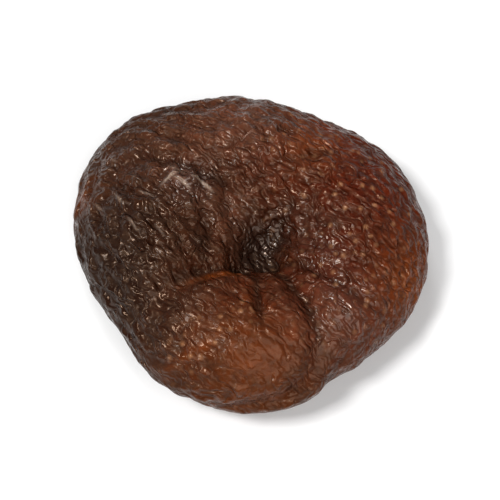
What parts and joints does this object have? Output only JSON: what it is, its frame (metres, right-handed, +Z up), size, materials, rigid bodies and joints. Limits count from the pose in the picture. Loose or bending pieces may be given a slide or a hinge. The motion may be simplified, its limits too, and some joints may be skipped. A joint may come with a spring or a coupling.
{
  "type": "dried apricot",
  "caption": "Whole dried apricot without its stone: a flat round cushion of wrinkled skin with a deep stem cavity above, radial folds, and a dimpled underside.",
  "frame": {"origin": "under the middle of the fruit's box in plan, on the surface that it rests on", "axes": "+Z up through the fruit's thickness, with the stem cavity above; +X along its longest extent; -Y towards the open end of the suture"},
  "size_m": [0.0422, 0.0408, 0.0128],
  "materials": {
    "skin": "satin: dark brown dried fruit skin, wrinkled and pebbled, reddish on the right and greyish on the left"
  },
  "bodies": {
    "root": {"apricot": "skin"}
  },
  "joints": []
}
